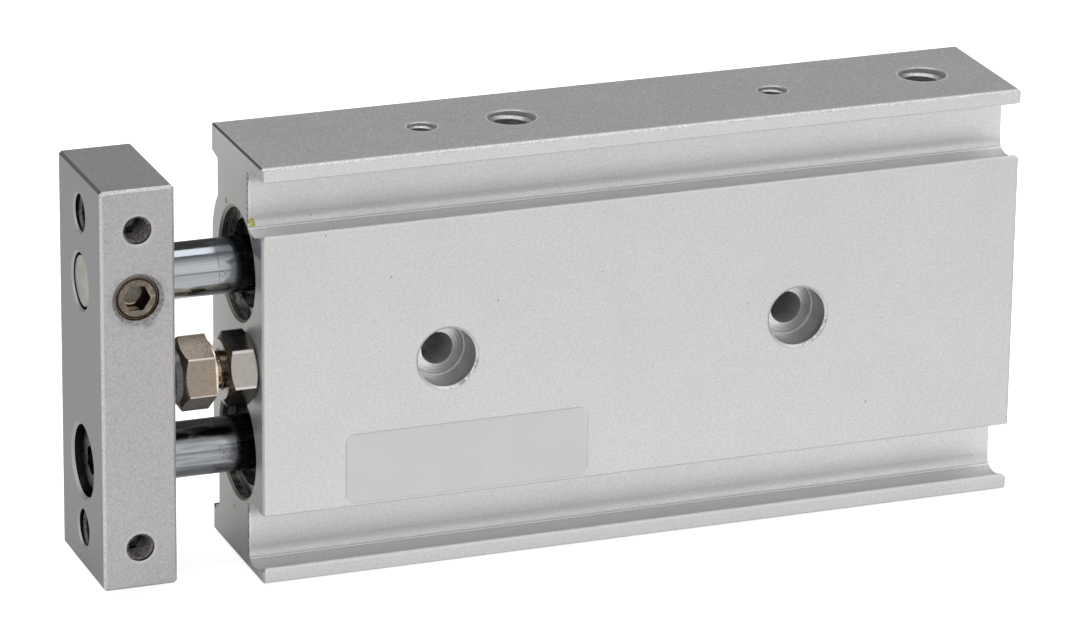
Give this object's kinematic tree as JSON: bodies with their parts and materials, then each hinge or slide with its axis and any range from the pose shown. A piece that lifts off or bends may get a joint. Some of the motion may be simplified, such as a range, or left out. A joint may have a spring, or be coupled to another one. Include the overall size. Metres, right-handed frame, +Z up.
{
  "type": "guided pneumatic cylinder",
  "caption": "Guided pneumatic cylinder: a slim extruded body with parallel chromed rods that carry a drilled end plate, a bumper bolt between them, air ports and sensor grooves.",
  "frame": {"origin": "centre of the housing's underside, halfway along the housing and halfway through its thickness", "axes": "-X along the rods, the way they push the end plate out; +Y across the thickness, away from the face with the sensor grooves; +Z up, towards the face with the open air ports"},
  "size_m": [0.1031, 0.0171, 0.046],
  "materials": {
    "anodised_aluminium": "clear anodised, fine matt grain",
    "machined_aluminium": "turned, clear anodised",
    "hard_chrome": "ground and hard chromed",
    "nickel_plated_steel": "nickel plated, warm and satin",
    "plated_steel": "zinc plated, satin",
    "black_oxide_steel": "black oxide, satin",
    "spring_steel": "phosphated, dark",
    "bronze": "sintered, oiled",
    "nitrile_rubber": "matt black",
    "urethane": "dark blue-grey, slightly shiny",
    "magnet": "dull dark grey",
    "resin": "tan, matt",
    "label_film": "pale grey film, satin"
  },
  "bodies": {
    "housing": {"housing": "anodised_aluminium", "port_plugs": "plated_steel", "name_label": "label_film", "bumper_bolt": "nickel_plated_steel", "lock_nut": "nickel_plated_steel", "stop_bumper": "urethane", "upper_front_snap_ring": "spring_steel", "upper_seal_retainer": "machined_aluminium", "upper_rod_cover": "machined_aluminium", "upper_rod_cover_o_ring": "nitrile_rubber", "upper_rod_seal": "nitrile_rubber", "upper_guide_bush": "bronze", "upper_head_cover": "machined_aluminium", "upper_head_cover_o_ring": "nitrile_rubber", "upper_head_damper": "urethane", "upper_rear_snap_ring": "spring_steel", "lower_front_snap_ring": "spring_steel", "lower_seal_retainer": "machined_aluminium", "lower_rod_cover": "machined_aluminium", "lower_rod_cover_o_ring": "nitrile_rubber", "lower_rod_seal": "nitrile_rubber", "lower_guide_bush": "bronze", "lower_head_cover": "machined_aluminium", "lower_head_cover_o_ring": "nitrile_rubber", "lower_head_damper": "urethane", "lower_rear_snap_ring": "spring_steel"},
    "carriage": {"end_plate": "anodised_aluminium", "upper_rod": "hard_chrome", "lower_rod": "hard_chrome", "rod_screw": "black_oxide_steel", "set_screw": "plated_steel", "upper_piston": "machined_aluminium", "upper_piston_seal": "nitrile_rubber", "upper_piston_magnet": "magnet", "upper_wear_ring": "resin", "upper_front_damper": "urethane", "upper_piston_nut": "plated_steel", "lower_piston": "machined_aluminium", "lower_piston_seal": "nitrile_rubber", "lower_piston_magnet": "magnet", "lower_wear_ring": "resin", "lower_front_damper": "urethane", "lower_piston_nut": "plated_steel"}
  },
  "joints": [
    {"name": "rod_slide", "type": "slide", "parent": "housing", "child": "carriage", "axis": [-1, 0, 0], "range_m": [0, 0.03]}
  ]
}
